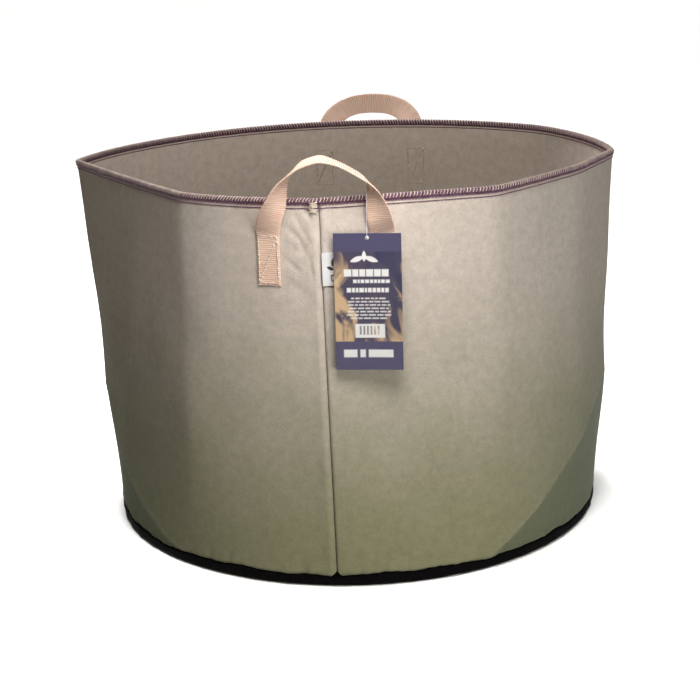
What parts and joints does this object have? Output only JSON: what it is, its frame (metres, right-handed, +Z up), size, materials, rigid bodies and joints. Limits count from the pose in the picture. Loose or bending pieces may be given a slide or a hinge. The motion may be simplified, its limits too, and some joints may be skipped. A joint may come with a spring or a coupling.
{
  "type": "fabric grow bag",
  "caption": "Round open-topped needled-felt planter bag with a black felt base, overlocked rim, front seam and two webbing carry handles, with a card hang tag.",
  "frame": {"origin": "centre of the base panel's underside", "axes": "+Z up through the open mouth, -Y towards the front seam and the tagged handle, +X along the rim's longest way across"},
  "size_m": [0.613, 0.5768, 0.4551],
  "materials": {
    "tan_felt": "needled felt, matte",
    "black_felt": "needled felt, matte",
    "maroon_thread": "polyester sewing thread",
    "cream_thread": "polyester sewing thread",
    "tan_webbing": "ribbed polypropylene webbing",
    "woven_label": "woven satin label",
    "printed_card": "printed card, semi-gloss",
    "clear_nylon": "translucent moulded nylon"
  },
  "bodies": {
    "bag": {"wall_panel": "tan_felt", "base_panel": "black_felt", "rim_overlock": "maroon_thread", "rim_chain_stitch": "maroon_thread", "seam_overlock": "maroon_thread", "seam_bartack": "cream_thread", "base_seam_overlock": "maroon_thread", "front_handle_left_end": "tan_webbing", "front_handle_right_end": "tan_webbing", "rear_handle_left_end": "tan_webbing", "rear_handle_right_end": "tan_webbing", "front_left_box_stitch": "cream_thread", "front_right_box_stitch": "cream_thread", "rear_left_box_stitch": "cream_thread", "rear_right_box_stitch": "cream_thread"},
    "front_handle": {"front_handle_loop": "tan_webbing"},
    "rear_handle": {"rear_handle_loop": "tan_webbing"},
    "tag_pin": {"tag_pin": "clear_nylon"},
    "hang_tag": {"hang_tag": "printed_card"},
    "side_label": {"side_label": "woven_label"}
  },
  "joints": [
    {"name": "front_handle_fold", "type": "hinge", "parent": "bag", "child": "front_handle", "pos_m": [0.0017, -0.25667, 0.373], "axis": [1, 0, 0], "range_deg": [0, 90], "stiffness_Nm_per_rad": 0.01, "springref_deg": -17.19},
    {"name": "rear_handle_fold", "type": "hinge", "parent": "bag", "child": "rear_handle", "pos_m": [0.005, 0.22937, 0.373], "axis": [-1, 0, 0], "range_deg": [0, 105], "stiffness_Nm_per_rad": 0.01, "springref_deg": -17.19},
    {"name": "tag_pin_turn", "type": "hinge", "parent": "front_handle", "child": "tag_pin", "pos_m": [0.04679, -0.26488, 0.4218], "axis": [1, 0, 0], "range_deg": [-90, 0]},
    {"name": "tag_swing", "type": "hinge", "parent": "tag_pin", "child": "hang_tag", "pos_m": [0.04549, -0.27366, 0.375], "axis": [-1, 0, 0], "range_deg": [0, 45]},
    {"name": "side_label_flap", "type": "hinge", "parent": "bag", "child": "side_label", "pos_m": [-0.00196, -0.27018, 0.34004], "axis": [0, 0, -1], "range_deg": [0, 13], "stiffness_Nm_per_rad": 0.0005}
  ],
  "couplings": [
    {"joint": "tag_pin_turn", "follows": "front_handle_fold", "ratio": -1}
  ]
}
